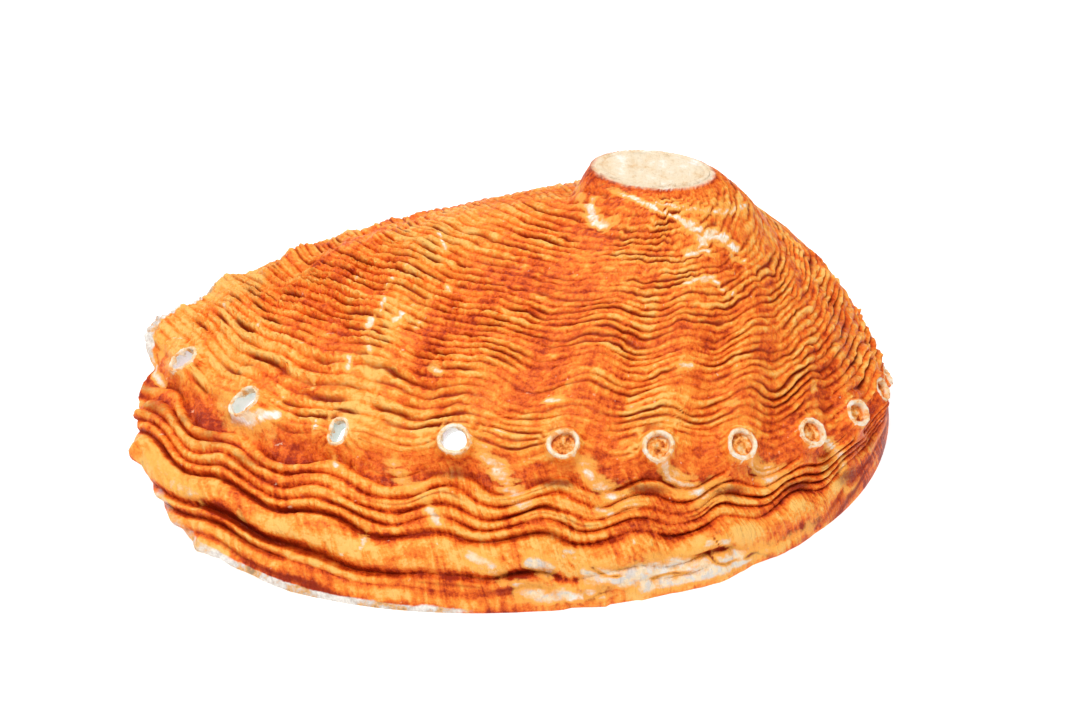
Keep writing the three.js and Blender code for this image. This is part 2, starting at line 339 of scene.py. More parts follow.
# Cream streaks: half width, strength, and a run of places (direction in degrees, distance from the pole).
# Many of the places were first found by a scratch script, from marks seen in the photograph.
STREAKS = [
    # running out from under the spire
    (0.55, 0.9, [(175, 9.0), (142, 6.3), (115, 6.5), (84, 7.6), (68, 9.6)]),
    (1.0, 1.0, [(68, 9.6), (57, 11.3), (46, 12.7)]),
    (0.55, 0.8, [(100, 5.6), (72, 7.1), (46, 9.0), (34, 10.7), (11, 13.1)]),
    (0.5, 0.7, [(31, 9.3), (22, 11.5)]),
    (0.9, 0.9, [(63, 10.6), (62, 12.9), (76, 13.3)]),
    (0.5, 0.7, [(86, 13.7), (78, 14.5)]),
    (0.7, 1.0, [(46, 13.3), (43, 14.5)]),
    (0.55, 0.9, [(82, 17.4), (77, 17.3), (67, 17.0), (65, 18.8), (60, 20.1)]),
    (0.5, 0.8, [(50, 15.0), (45, 16.1)]),
    (0.8, 1.0, [(166, 10.9), (156, 11.3), (144, 11.2), (139, 10.8)]),
    (0.6, 0.6, [(190, 12.7), (173, 11.8), (162, 11.7)]),
    (0.4, 0.45, [(139, 9.4), (115, 11.9), (107, 13.3)]),
    (0.6, 0.5, [(11, 13.1), (14, 17.2), (16, 20.6), (18, 24.7)]),
    # flecks of the growth band across the dome
    (0.5, 0.9, [(175, 31.7), (182, 32.5)]),
    (0.7, 0.7, [(173, 36.8), (170, 38.5)]),
    (0.5, 0.8, [(170, 39.5), (168, 41.0)]),
    (0.5, 0.9, [(165, 41.5), (162, 42.5)]),
    (0.6, 1.0, [(159.5, 40.0), (158.5, 41.5)]),
    (0.8, 1.0, [(162, 44.0), (159.5, 45.5)]),
    (0.55, 0.8, [(155, 38.7), (154, 39.5)]),
    (0.55, 0.9, [(157, 46.0), (154, 46.5)]),
    (0.55, 0.8, [(156, 49.3), (154, 50.3)]),
    (0.45, 0.9, [(175.5, 44.3), (174.5, 44.8)]),
    (0.5, 0.7, [(161.5, 33.0), (160, 33.3)]),
    (0.6, 0.9, [(143, 41.4), (140.5, 41.2)]),
    (0.45, 0.8, [(156.5, 55.0), (155, 55.5)]),
    # by the open holes
    (1.1, 1.0, [(158, 66.4), (155.8, 64.4), (153.8, 61.8)]),
    (1.3, 0.55, [(161, 67.0), (157.5, 67.0), (153, 63.2)]),
    (0.5, 0.9, [(161, 65.5), (160, 66.5)]),
    (0.4, 0.8, [(156.5, 59.5), (155.5, 60.5)]),
    (0.4, 0.8, [(148.5, 57.6), (147.5, 58.6)]),
    (0.5, 0.8, [(143.3, 59.0), (141.8, 59.4)]),
    (0.45, 0.8, [(178.5, 64.2), (177.5, 64.0)]),
    (0.45, 0.7, [(172.5, 59.4), (171, 59.6)]),
    (0.9, 0.55, [(174, 74.0), (176, 73.5)]),
    # lobes between the tubes
    (1.5, 0.62, [(123.5, 46.4), (120, 47.3), (117, 48.9), (113.5, 49.4)]),
    (0.8, 0.85, [(121, 47.6), (116, 48.9), (114.5, 49.9)]),
    (1.4, 0.60, [(106, 43.0), (103, 44.4), (99, 45.2), (96, 44.6)]),
    (0.6, 0.8, [(103.5, 44.6), (100, 45.3)]),
    (1.4, 0.66, [(91, 41.2), (87, 42.6), (83, 43.3), (79.5, 42.6)]),
    (0.8, 0.8, [(86.5, 42.3), (82.5, 43.2)]),
    (1.3, 0.6, [(73.5, 39.4), (70.5, 40.9), (66.5, 41.4)]),
    (0.9, 0.7, [(54, 38.6), (51, 40.4), (52, 42.0)]),
    (1.0, 0.55, [(136, 54.2), (132, 55.0), (128, 54.4)]),
    # lower ridges and worn margin
    (0.7, 0.9, [(127, 55.6), (124.5, 56.4)]),
    (0.5, 0.8, [(102.5, 47.0), (100, 46.9)]),
    (0.9, 0.75, [(119, 57.4), (114, 57.0)]),
    (0.9, 1.0, [(111, 54.6), (108, 54.3)]),
    (0.6, 0.8, [(106.5, 52.2), (105, 52.0)]),
    (0.8, 0.95, [(112, 57.3), (106, 55.9), (100, 54.0)]),
    (0.8, 0.95, [(103, 53.1), (97, 51.9), (94, 50.7)]),
    (1.3, 1.0, [(94, 51.2), (85, 49.4), (76, 47.9)]),
    (1.0, 0.9, [(76, 47.9), (68, 46.8), (60, 45.1)]),
    (0.6, 0.7, [(84, 47.2), (80, 46.7)]),
    (0.35, 1.0, [(132.6, 62.4), (131.8, 64.2)]),
    (0.4, 0.8, [(146.4, 72.2), (145.2, 72.8)]),
    (1.3, 0.5, [(160, 77.5), (156, 77.5), (151, 75.5)]),
    (0.65, 0.95, [(181, 73.4), (178, 75.6), (173, 75.8), (170, 74.8)]),
    # flecks of the middle
    (0.45, 0.8, [(161.2, 33.0), (159, 33.0)]),
    (0.5, 0.9, [(117.5, 36.9), (114.5, 36.2)]),
    (0.45, 0.9, [(86.8, 29.0), (83.4, 28.8)]),
    (0.45, 0.6, [(76, 33.5), (73.5, 33.3)]),
    (0.45, 0.6, [(99, 34.6), (96.4, 34.4)]),
    (0.45, 0.7, [(124, 43.4), (121.6, 42.8)]),
    (0.45, 0.7, [(52, 33.4), (50, 33.2)]),
]
# How strongly the margin's pale broken edge shows, by direction in degrees.
LIP_STRENGTH = np.array([
    (114, 0), (122, 0.95), (138, 0.95), (147, 0.5), (158, 0.4), (161, 0), (171, 0), (176, 0.7), (188, 0.6),
    (200, 0),
])
# The yellow zone along a growth line: a run of places like a streak's.
YELLOW_RUN = [(186, 27), (179, 31.5), (170, 36), (161, 40.5), (154.5, 45.5), (150.5, 49.5), (146, 53.5)]


def unwound(phi, step):
    """Where a place lies on the coil: its angles, its distances and the distance of the row of holes."""
    degrees = np.degrees(np.mod(phi, 2 * math.pi))
    reach = margin_distance(phi)
    radius = share_of(step) * reach
    from_seam = radius - spiral(degrees - 360)
    older = (degrees > 180) & (from_seam < 0)
    turn = np.where(older, degrees - 360, degrees)
    row = spiral(turn)
    return degrees, reach, radius, from_seam, older, turn, row


def growth_line(turn, part, reach, radius):
    """The growth line through a place, named by where it meets the row of holes."""
    near = 110 + (turn - 110) * np.clip(part, 0, 2) ** 0.9
    far = 187 - 1.1 * (reach - radius)
    return mix(near, far, ease((turn - 175) / 30))


def folds(growth):
    """Folds that run along the growth lines, with a crest of 1 at each hole and -1 between them."""
    first, last = HOLE_ANGLES[0], HOLE_ANGLES[-1]
    count = np.interp(growth, HOLE_ANGLES, np.arange(len(HOLE_ANGLES)))
    count = count + np.minimum(growth - first, 0) / 12 + np.maximum(growth - last, 0) / 13
    return np.cos(2 * math.pi * count)


def cord_profile(phase, along, broken, seed):
    """Height of rounded cords with narrow grooves between them, and how strong each groove's painted shade
    is.
    """
    f = phase - np.floor(phase)
    crest = 1 - np.abs(2 * f - 1) ** 2.2
    crest = crest * (0.85 + 0.45 * noise(np.floor(phase) * 2.71, along / 12, seed + 50))
    number = np.floor(phase + 0.5)
    long, short = noise(number * 5.37, along / 15, seed), noise(number * 3.1, along / 3.6, seed + 9)
    strength = 0.68 - 0.18 * broken + (0.60 - 0.40 * broken) * long + (0.28 + 0.75 * broken) * short
    groove = bell(np.minimum(f, 1 - f), 0.25) * np.clip(strength, 0.08, 1.2) ** 1.2
    return crest, groove


def cords(phase, spacing, along, broken):
    """Cords that split in two wherever they would grow too wide."""
    level = np.log2(np.maximum(spacing, 1e-3) / CORD_SPACING)
    crest, groove = cord_profile(phase, along, broken, 1)
    for n in (1, 2, 3):
        finer_crest, finer_groove = cord_profile(phase * 2 ** n, along, broken, 1 + n)
        part = ease(level - n + 0.7)
        crest, groove = mix(crest, 0.25 * crest + 0.75 * finer_crest, part), mix(groove, finer_groove, part)
    return crest, groove


def band(place, fold, width, turn):
    """Ridges of the band below the row: height, and the painted shade of the grooves."""
    sway = 0.014 * noise(turn / 3.5, place * 7, 22) + 0.025 * noise(turn / 9, place * 3, 23)
    shifted = place + 0.075 * fold * np.clip(1.1 - place, 0.12, 1) + sway
    edges = BAND_GROOVES[:, 0]
    i = np.clip(np.searchsorted(edges, shifted, side="right") - 1, 0, len(edges) - 2)
    f = np.clip((shifted - edges[i]) / (edges[i + 1] - edges[i]), 0, 1)
    size = np.clip(width / 15, 0.35, 1.1)
    vary = 1 + 0.40 * noise(turn / 7, i * 3.3, 24)
    height = BAND_GROOVES[i, 2] * (1 - np.abs(2 * f - 1) ** 2.0) * size * vary
    painted_shade = np.zeros_like(shifted)
    for n, (at, depth, _) in enumerate(BAND_GROOVES):
        keep = np.clip(0.55 + 0.75 * noise(turn / 8, n * 7.7, 21), 0.0, 1.2)
        line = bell(shifted - at, 0.010 + 0.012 * depth) * keep
        height = height - depth * line * size
        painted_shade = np.maximum(painted_shade, line * min(0.85, 0.32 + 0.8 * depth))
    for n, at in enumerate(BAND_SPLITS):
        keep = np.clip(0.35 + 0.9 * noise(turn / 7, n * 5.3, 25), 0, 1) * ease((150 - turn) / 20)
        line = bell(shifted - at, 0.011) * keep
        height = height - 0.28 * line * size
        painted_shade = np.maximum(painted_shade, 0.6 * line)
    return height, np.where(shifted > 0.1, painted_shade, 0)


def away_from_run(x, y, run):
    """Distance of places from a run given by direction and distance. All are measured from the pole."""
    nearest = np.full_like(x, np.inf)
    ends = [(r * math.cos(math.radians(at)), -r * math.sin(math.radians(at))) for at, r in run]
    for (x0, y0), (x1, y1) in zip(ends, ends[1:]):
        square = (x1 - x0) ** 2 + (y1 - y0) ** 2
        t = np.clip(((x - x0) * (x1 - x0) + (y - y0) * (y1 - y0)) / square, 0, 1)
        nearest = np.minimum(nearest, np.hypot(x - x0 - t * (x1 - x0), y - y0 - t * (y1 - y0)))
    return nearest


def streaked(x, y):
    """How cream a place is, from the streaks. The place is measured from the pole."""
    total = np.zeros_like(x)
    for half_width, strength, run in STREAKS:
        total = np.maximum(total, strength * bell(away_from_run(x, y, run), half_width))
    return total


def relief(phi, step, stretch):
    """Height of the outer surface above the dome, with what the materials need to know."""
    degrees, reach, radius, from_seam, older, turn, row = unwound(phi, step)
    share = share_of(step)
    x, y = radius * np.cos(phi), -radius * np.sin(phi)
    part = radius / row
    growth = growth_line(turn, part, reach, radius)
    fold = folds(growth)
    rise = DOME_HEIGHT * dome_profile(phi, share)
    near = near_side(degrees)
    from_row = radius - row
    band_reach = np.interp(turn, BAND_REACH[:, 0], BAND_REACH[:, 1])
    place = (part - 1) / band_reach
    on_band = near * ease(place / 0.22)
    away_from_seam = np.where((degrees > 175) & (degrees < 340), ease(np.abs(from_seam) / 2.5), 1)
    off_spire = ease((spire_radius(x, y) - 1.0) / 0.4)
    front = span(degrees, 125, 25, 215, 15) * np.where(part < 1.02, 1, 0.7)
    front = front * ease((part - 0.3) / 0.3)

    # cords
    spread = mix(1, curve(SPREAD, turn), ease((1 - part) / 0.3))
    upper = part / spread
    spacing = row * spread / CORDS * stretch
    fold_size = ease((part - 0.25) / 0.5) * (1 - 0.6 * ease((degrees - 185) / 30)) * (1 - 0.55 * front)
    fold_size = fold_size * (1 - 0.7 * ease((75 - turn) / 40) * ease((0.97 - part) / 0.1))
    drift = 0.55 * noise(growth / 11, part * 9, 3) + 0.35 * noise(turn / 5, part * 22, 4)
    drift = drift + 0.14 * noise(turn / 1.8, part * 37, 14)
    phase = CORDS * (1 - upper) - (FOLD_SHIFT * fold * fold_size + drift) / spacing
    crest, groove = cords(phase, spacing, turn, front)
    rough = 0.85 + 0.45 * noise(growth / 7, part * 7, 5)
    cord_size = away_from_seam * off_spire * (1 - on_band) * rough
    cord_size = cord_size * (1 - 0.35 * bell(from_row, 1.6) * near)
    back = ease((75 - turn) / 40) * ease((part - 0.45) / 0.3)
    far = ease((degrees - 178) / 12)
    bead_size = 0.30 + 0.35 * front * (1 - far) + 0.45 * back
    beads = 1 + bead_size * noise(turn * radius / RADIAN / (0.8 + 0.9 * far), np.round(phase) * 3.7, 15)
    broad = np.clip(spacing / CORD_SPACING, 0.75, 1.6)
    broad = broad * (1 + 0.25 * front) * (1 - 0.45 * far) * (1 + 0.3 * back)
    height = cord_size * broad * (CORD_HEIGHT * (crest * beads - 0.55) - CORD_GROOVE * groove)

    # folds, keel, channel, ridges and seam
    edge_fade = ease((1 - share) / 0.05)
    scallop = span(degrees, 132, 14, 200, 12)
    fade = np.maximum(edge_fade, scallop)
    cream = streaked(x, y) * off_spire
    margin_worn = bell(degrees - 86, 26) * ease((10 - rise) / 3) * ease((cream - 0.2) / 0.4)
    height = height + FOLD_HEIGHT * fold * fold_size * np.where(part > 1, 0.9, 1) * away_from_seam
    between = ((1 - fold) / 2) ** 1.5
    keel = KEEL_HEIGHT * bell(from_row, np.where(from_row > 0, 2.0, KEEL_HALF_WIDTH)) * (1 - 0.25 * between)
    channel = CHANNEL_DEPTH * (1.6 - 1.4 * between) * bell(from_row - CHANNEL_OFFSET, CHANNEL_HALF_WIDTH)
    band_width = band_reach * row * np.minimum(stretch, 1.8)
    ridge, ridge_groove_shade = band(place, fold, band_width, turn)
    ends = 1 - 0.45 * scallop * ease((share - 0.93) / 0.07)
    height = height + near * (keel - channel) + on_band * ridge * ends
    knobs = np.zeros_like(height)
    for at, inwards, size, half_width in KNOBS:
        away = np.hypot((degrees - at) * radius / RADIAN, (reach - radius - inwards) / 1.3)
        knobs = knobs + size * bell(away, half_width)
    height = height + knobs
    height = height + BEAK_LENGTH * bell(degrees - 178.5, 4) * ease((share - 0.92) / 0.08)
    farther = span(degrees, 175, 40, 358, 20)
    height = height - farther * off_spire * SEAM_DEPTH * bell(from_seam, SEAM_HALF_WIDTH)

    # growth steps, slanting striae and grain
    growth = growth + 42 * near * np.maximum(part - 1, 0)
    lines = growth + 1.6 * noise(growth / 5, part * 6, 6)
    steps = 0.14 * noise(lines / 2.6, part * 2.5, 7) + 0.09 * noise(lines / 0.9, part * 9, 8)
    height = height + steps * off_spire * (0.6 + 1.0 * ease((growth - 140) / 30))
    slanted = turn + 26 * place + 1.6 * noise(turn / 6, place * 4, 9)
    kept = np.clip(0.6 + noise(turn / 5, place * 5, 19), 0, 1.4)
    striae = np.abs(2 * ((slanted / 1.3) % 1) - 1) ** 1.5 * kept
    big_ridge, lower = ease((place - 0.62) / 0.06), ease((place - 0.86) / 0.05)
    height = height - on_band * 0.20 * striae * (0.35 + 0.65 * big_ridge - 0.65 * lower)
    grain = 0.10 * noise(x / 0.9, y / 0.9, 10) + 0.26 * (0.35 + front) * noise(x / 2.1, y / 2.1, 16)
    layer = place * 11 + turn / 14 + 0.8 * noise(turn / 3.1, place * 4, 26)
    cracked = np.clip(0.5 + 1.3 * noise(turn / 2.3, np.floor(layer) * 3.3, 27), 0, 1)
    crack = bell((layer % 1) - 0.5, 0.11) * cracked
    grain = grain + margin_worn * (0.40 * noise(turn / 2.2, place * 12, 28) - 0.35 * crack)
    far_side = span(degrees, 172, 14, 268, 20) * ease((part - 0.4) / 0.2)
    grain = grain + far_side * (0.30 * noise(x / 1.5, y / 1.5, 30) + 0.28 * noise(x / 3.1, y / 3.1, 31))
    crags = 0.55 * front * np.minimum(0.35, noise(growth / 3.2, part * 13, 17))
    crags = crags + 0.30 * front * noise(x / 5, y / 5, 18)
    height = height + off_spire * (grain + crags)
    height = height * np.maximum(fade, 0.6 * margin_worn)
    # never so deep that the wall is cut through
    height = np.maximum(height, -DEEPEST_CUT - EXTRA_CUT * ease((share - 0.93) / 0.05))

    # spire: a worn flat with faint rings and a thin broken edge
    out = 1.1 * spire_radius(x, y) + 0.03 * noise(np.cos(phi) * 3, np.sin(phi) * 3, 11)
    height = height * ease((out - 0.9) / 0.2)
    drop = 0.35 * ease((out - 0.985) / 0.03) + 0.35 * ease((out - 1.12) / 0.03)
    ring_line = bell(out - 0.90, 0.022) + 0.5 * bell(out - 0.80, 0.02) * ease((SPIRE_AT[1] - y + 1) / 3)
    height = height - 0.14 * ring_line
    height = height - drop * ease((1.9 - out) / 0.5) + 0.06 * noise(x / 0.9, y / 0.9, 12) * (out < 1.1)
    spire = 1 - ease((out - 1.08) / 0.05)

    cream = cream * (1 - 0.85 * ease((1.7 - rise) / 0.9) * ease((118 - degrees) / 6))
    # Painted shade: darker colour in the grooves of the cords and ridges, in the spire's ring lines and in
    # the cracks of the worn margin.
    painted_shade = np.maximum(groove * cord_size, ridge_groove_shade * on_band)
    # Painted shadow: a dark line under each older tube, on its side towards the margin.
    shade = 0.85 * near * bell(from_row - 4.1, 0.6) * (1 - between) ** 2
    shade = shade * ease((degrees - 25) / 25) * ease((141 - degrees) / 6)
    # Painted shade in the hollow of the channel below the open holes.
    hollow_shade = 0.54 * bell(from_row - 7.2, 2.4) * ease((degrees - 140) / 12) * ease((176 - degrees) / 6)
    painted_shade = np.maximum(painted_shade, np.maximum(shade, hollow_shade * (0.75 + 0.5 * noise(turn / 2, place * 9, 29))))
    painted_shade = np.clip(np.maximum(painted_shade, np.maximum(0.35 * ring_line, 1.3 * crack * margin_worn)), 0, 1)

    yellow = bell(away_from_run(x, y, YELLOW_RUN), 5.6)
    young = ease((growth - 152) / 8) * ease((part - 0.72) / 0.12) * ease((1.06 - part) / 0.04)
    tone = 0.13 * yellow + 0.08 * young - 0.10 * front * ease((0.85 - part) / 0.15) * (1 - yellow)
    tone = tone + 0.07 * near * bell(from_row + 0.5, 4) * ease((degrees - 60) / 40)
    far_tone = 0.13 * ease((degrees - 174) / 14) * ease((300 - degrees) / 60) * ease((part - 0.3) / 0.3)
    tone = tone + np.where(older, 0, far_tone)
    tone = tone - 0.03 * bell(growth - 118, 12) * ease((0.75 - part) / 0.2)
    # Painted highlight and shade: the band's ridge tops lighter, the ground between them and the striae's
    # grooves darker, and the fold crests a little lighter. The mottle is the shell's own.
    tone = tone + 0.26 * on_band * ease((place - 0.2) / 0.1) * (np.clip(ridge, 0, 0.6) - 0.22)
    mottle = 0.17 * noise(turn / 4.5, place * 5, 33) + 0.08 * noise(turn / 1.7, place * 14, 34)
    tone = tone + on_band * big_ridge * (mottle + mix(-0.05 - 0.17 * striae, 0.04, lower))
    tone = tone + 0.03 * fold * fold_size * (1 - on_band) + 0.06 * bell(spire_radius(x, y) - 1.5, 0.9)

    lip_strength = np.interp(degrees, LIP_STRENGTH[:, 0], LIP_STRENGTH[:, 1])
    edge = ease((1.0 - rise) / 0.5 + 0.5) * lip_strength
    zeros = np.zeros_like(height)
    # Painted highlight: the tops of the cords and of the band's ridges, for lighter colour there.
    crest_highlight = mix(crest * np.clip(beads, 0, 1.5) * cord_size, np.clip(ridge, 0, 1), on_band)
    return height, np.stack([phase, turn, growth, crest_highlight, painted_shade, tone, cream, spire, zeros, zeros, edge], -1)


def outer(phi, step):
    """Points of the outer surface and their traits."""
    phi, step = np.broadcast_arrays(np.asarray(phi, float), np.asarray(step, float))
    points = dome(phi, step, True)
    normal, stretch = dome_frame(phi, step)
    height, traits = relief(phi, step, stretch)
    base = margin_height(phi)
    points = points + normal * height[..., None]
    lift = np.hypot(np.maximum(points[..., 2] - base, 0), 0.25)
    points[..., 2] = base + lift
    return points, traits


def lip_inner_edge(phi):
    shelf = np.clip(np.cos(phi - SHELF_AT), 0, 1) ** 1.5
    width = LAND + SHELF_EDGE + SHELF_WIDTH * shelf
    distance = margin_distance(phi) - width
    x, y = POLE[0] + distance * np.cos(phi), POLE[1] - distance * np.sin(phi)
    return np.stack([x, y, margin_height(phi) + 0.3 + SHELF_RISE * shelf], -1)


def inner(phi, step):
    """Points of the pearly inner surface and their traits."""
    phi, step = np.broadcast_arrays(np.asarray(phi, float), np.asarray(step, float))
    share = share_of(step)
    normal, _ = dome_frame(phi, step)
    degrees, _, radius, _, _, _, row = unwound(phi, step)
    near = near_side(degrees)
    groove = 0.7 * near * bell(radius - row, 3.2)
    x, y = radius * np.cos(phi), radius * np.sin(phi)
    lumps = 0.15 * noise(x / 14, y / 14, 31) + 0.06 * noise(x / 4, y / 4, 32)
    fade = ease((1 - share) / 0.2)
    points = dome(phi, step, False) + normal * (fade * (groove + lumps) - WALL)[..., None]
    swell = np.clip((share - 0.8) / 0.2, 0, 1) ** 2
    points = mix(points, lip_inner_edge(phi), swell[..., None])
    traits = np.zeros(phi.shape + (len(TRAITS),))
    return points, traits


# ---- mesh building ----


class Skin:
    """Points, their traits and triangles, gathered piece by piece."""

    def __init__(self):
        self.points, self.traits, self.faces, self.kinds = [], [], [], []
        self.count = 0

    def add(self, points, traits):
        points, traits = points.reshape(-1, 3), traits.reshape(-1, len(TRAITS))
        start = self.count
        self.points.append(points)
        self.traits.append(traits)
        self.count += len(points)
        return np.arange(start, self.count)

    def triangles(self, faces, kind):
        faces = np.asarray(faces).reshape(-1, 3)
        self.faces.append(faces)
        self.kinds.append(np.full(len(faces), kind))

    def strip(self, upper, lower, kind, keep=None):
        """A strip of triangles between two closed rings with the same number of points."""
        next_upper, next_lower = np.roll(upper, -1), np.roll(lower, -1)
        first = np.stack([upper, next_upper, next_lower], -1)
        second = np.stack([upper, next_lower, lower], -1)
        both = np.stack([first, second], 1)
        self.triangles(both if keep is None else both[keep], kind)

    def widen(self, upper, lower, kind, turned=False):
        """A strip from a ring to one with twice as many points."""
        next_upper = np.roll(upper, -1)
        even, odd, next_even = lower[::2], lower[1::2], np.roll(lower[::2], -1)
        for corners in ([upper, odd, even], [upper, next_upper, odd], [next_upper, next_even, odd]):
            self.triangles(np.stack(corners[::-1] if turned else corners, -1), kind)

    def zip(self, ring_a, angle_a, ring_b, angle_b, kind):
        """Triangles between two closed rings with different numbers of points, matched by angle."""
        a, b = np.argsort(angle_a), np.argsort(angle_b)
        ring_a, angle_a = ring_a[a], angle_a[a]
        ring_b, angle_b = ring_b[b], angle_b[b]
        i = j = 0
        faces = []
        while i < len(ring_a) or j < len(ring_b):
            next_a = angle_a[i % len(ring_a)] + (2 * math.pi if i >= len(ring_a) else 0)
            next_b = angle_b[j % len(ring_b)] + (2 * math.pi if j >= len(ring_b) else 0)
            here_a, here_b = ring_a[(i - 1) % len(ring_a)], ring_b[(j - 1) % len(ring_b)]
            if j >= len(ring_b) or (i < len(ring_a) and next_a <= next_b):
                faces.append((here_a, ring_a[i % len(ring_a)], here_b))
                i += 1
            else:
                faces.append((here_a, ring_b[j % len(ring_b)], here_b))
                j += 1
        self.triangles(faces, kind)


def column_angles(count):
    """Directions evenly spaced along the margin."""
    fine = np.linspace(0, 2 * math.pi, 4 * count + 1)
    length = np.concatenate([[0], np.cumsum(np.linalg.norm(np.diff(dome(fine, 1.0, False), axis=0), axis=1))])
    return np.interp(np.arange(count) * length[-1] / count, length, fine)


def column_skips(steps):
    """For each row, keep every how many columns: near the pole the rings are short and need fewer."""
    share = share_of(steps)
    halvings = np.clip(np.floor(np.log2(0.62 / np.maximum(share, 1e-3))), 0, 5).astype(int)
    return 2 ** halvings


def tangent_frame(phi, step):
    """A hole's centre on the dome, its normal, two tangents, and how the tangents move phi and step."""
    small = 1e-3
    centre = dome(phi, step, False)
    normal, _ = dome_frame(phi, step)
    along = (dome(phi + small, step, False) - dome(phi - small, step, False)) / (2 * small)
    out = (dome(phi, step + small, False) - dome(phi, step - small, False)) / (2 * small)
    side = along / np.linalg.norm(along)
    down = np.cross(side, normal)
    down = down * np.sign(np.dot(down, out))
    forward = np.array([[np.dot(along, side), np.dot(out, side)], [np.dot(along, down), np.dot(out, down)]])
    return centre, normal, side, down, np.linalg.inv(forward)


def settle(surface, phi, step, wanted, centre, side, down, back):
    """Moves places over a surface until they lie at the wanted spots of the tangent plane."""
    for _ in range(3):
        offset = surface(phi, step)[0] - centre
        miss = wanted - np.stack([offset @ side, offset @ down], -1)
        phi = phi + miss @ back[0]
        step = np.clip(step + miss @ back[1], 0, 1)
    return phi, step


class Patch:
    """A block of a grid's cells round a hole, cut out so that rings of points can take its place."""

    def __init__(self, surface, phis, steps, grid, at, radius):
        self.surface = surface
        phi = math.radians(at)
        reach = float(margin_distance(phi))
        step = math.asin(row_distance(at) / reach) * 2 / math.pi
        self.centre, self.normal, self.side, self.down, self.back = tangent_frame(phi, step)
        self.phi, self.step = phi, step
        half_phi = np.hypot(*self.back[0]) * radius
        half_step = np.hypot(*self.back[1]) * radius
        self.columns = (np.searchsorted(phis, phi - half_phi) - 1, np.searchsorted(phis, phi + half_phi))
        self.rows = (np.searchsorted(steps, step - half_step) - 1, np.searchsorted(steps, step + half_step))
        self.rows = (self.rows[0], min(self.rows[1], len(steps) - 3))
        (c0, c1), (r0, r1) = self.columns, self.rows
        loop = [(r0, c) for c in range(c0, c1)] + [(r, c1) for r in range(r0, r1)]
        loop += [(r1, c) for c in range(c1, c0, -1)] + [(r, c0) for r in range(r1, r0, -1)]
        rows, columns = np.array(loop).T
        self.ring = grid[rows, columns]
        self.loop_phi, self.loop_step = phis[columns], steps[rows]
        offset = surface(self.loop_phi, self.loop_step)[0] - self.centre
        flat = np.stack([offset @ self.side, offset @ self.down], -1)
        self.angle = np.arctan2(flat[:, 1], flat[:, 0])
        self.radius = np.hypot(flat[:, 0], flat[:, 1])

    def cells(self, shape):
        cut = np.zeros(shape, bool)
        cut[self.rows[0]:self.rows[1], self.columns[0]:self.columns[1]] = True
        return cut

    def places(self, radius):
        """Points and traits of the surface on a ring round the hole, one on each of the loop's angles."""
        flat = np.stack([radius * np.cos(self.angle), radius * np.sin(self.angle)], -1)
        part = (radius / self.radius)[:, None]
        loop = np.stack([self.loop_phi, self.loop_step], -1)
        start = loop * part + np.array([self.phi, self.step]) * (1 - part)
        phi, step = settle(
            self.surface, start[:, 0], start[:, 1], flat, self.centre, self.side, self.down, self.back
        )
        return self.surface(phi, step)


def ring_points(patch, axis, radius, height):
    """A true circle round a tube's axis."""
    tilt_down = patch.down - axis * np.dot(patch.down, axis)
    tilt_down /= np.linalg.norm(tilt_down)
    side = np.cross(axis, tilt_down)
    side = side * np.sign(np.dot(side, patch.side))
    radius = np.broadcast_to(radius, patch.angle.shape)
    height = np.broadcast_to(height, patch.angle.shape)
    spoke = np.cos(patch.angle)[:, None] * side + np.sin(patch.angle)[:, None] * tilt_down
    return patch.centre + axis * height[:, None] + spoke * radius[:, None]


TUBE_TILT = 12  # degrees; the older tubes lean towards the spire, so they stand proud on their lower side
FLARE = 2.3  # width of the tube's foot
NARROWEST_GAP = 1.1  # between a tube's foot and the middle of the way to the next hole
RIM_WIDTH = 0.66
# Rings up the outside of a tube: how far outside the bore, and how far from the shell to the rim.
TUBE_WALL = [
    (2.05, 0.03), (1.80, 0.10), (1.56, 0.22), (1.34, 0.40), (1.14, 0.60), (0.98, 0.78), (0.87, 0.90),
    (0.78, 0.97), (0.72, 1.0),
]
# Rings over the rim: how far outside the bore, and the rise.
TUBE_RIM = [(0.60, 0.08), (0.46, 0.13), (0.32, 0.13), (0.18, 0.08), (0.06, -0.02), (0.0, -0.16)]
# Rings down an open bore: depth and how much it narrows.
OPEN_BORE = [(0.5, 0.0), (1.1, -0.02), (1.9, -0.10), (3.0, -0.25)]
# Rings over a healed floor: how far inside the bore, depth, and how much they belong to the floor.
HEALED = [
    (0.03, 0.45, 0.1), (0.06, 0.80, 0.6), (0.20, 0.98, 1), (0.45, 0.98, 1), (0.75, 0.90, 1), (1.10, 0.92, 1),
]


def flare_of(at, bore):
    """Width of a tube's foot: less where the next tube stands close by."""
    nearest = np.sort(np.abs(HOLE_ANGLES - at))[1]
    return min(FLARE, math.radians(nearest) * row_distance(at) / 2 - bore - NARROWEST_GAP)


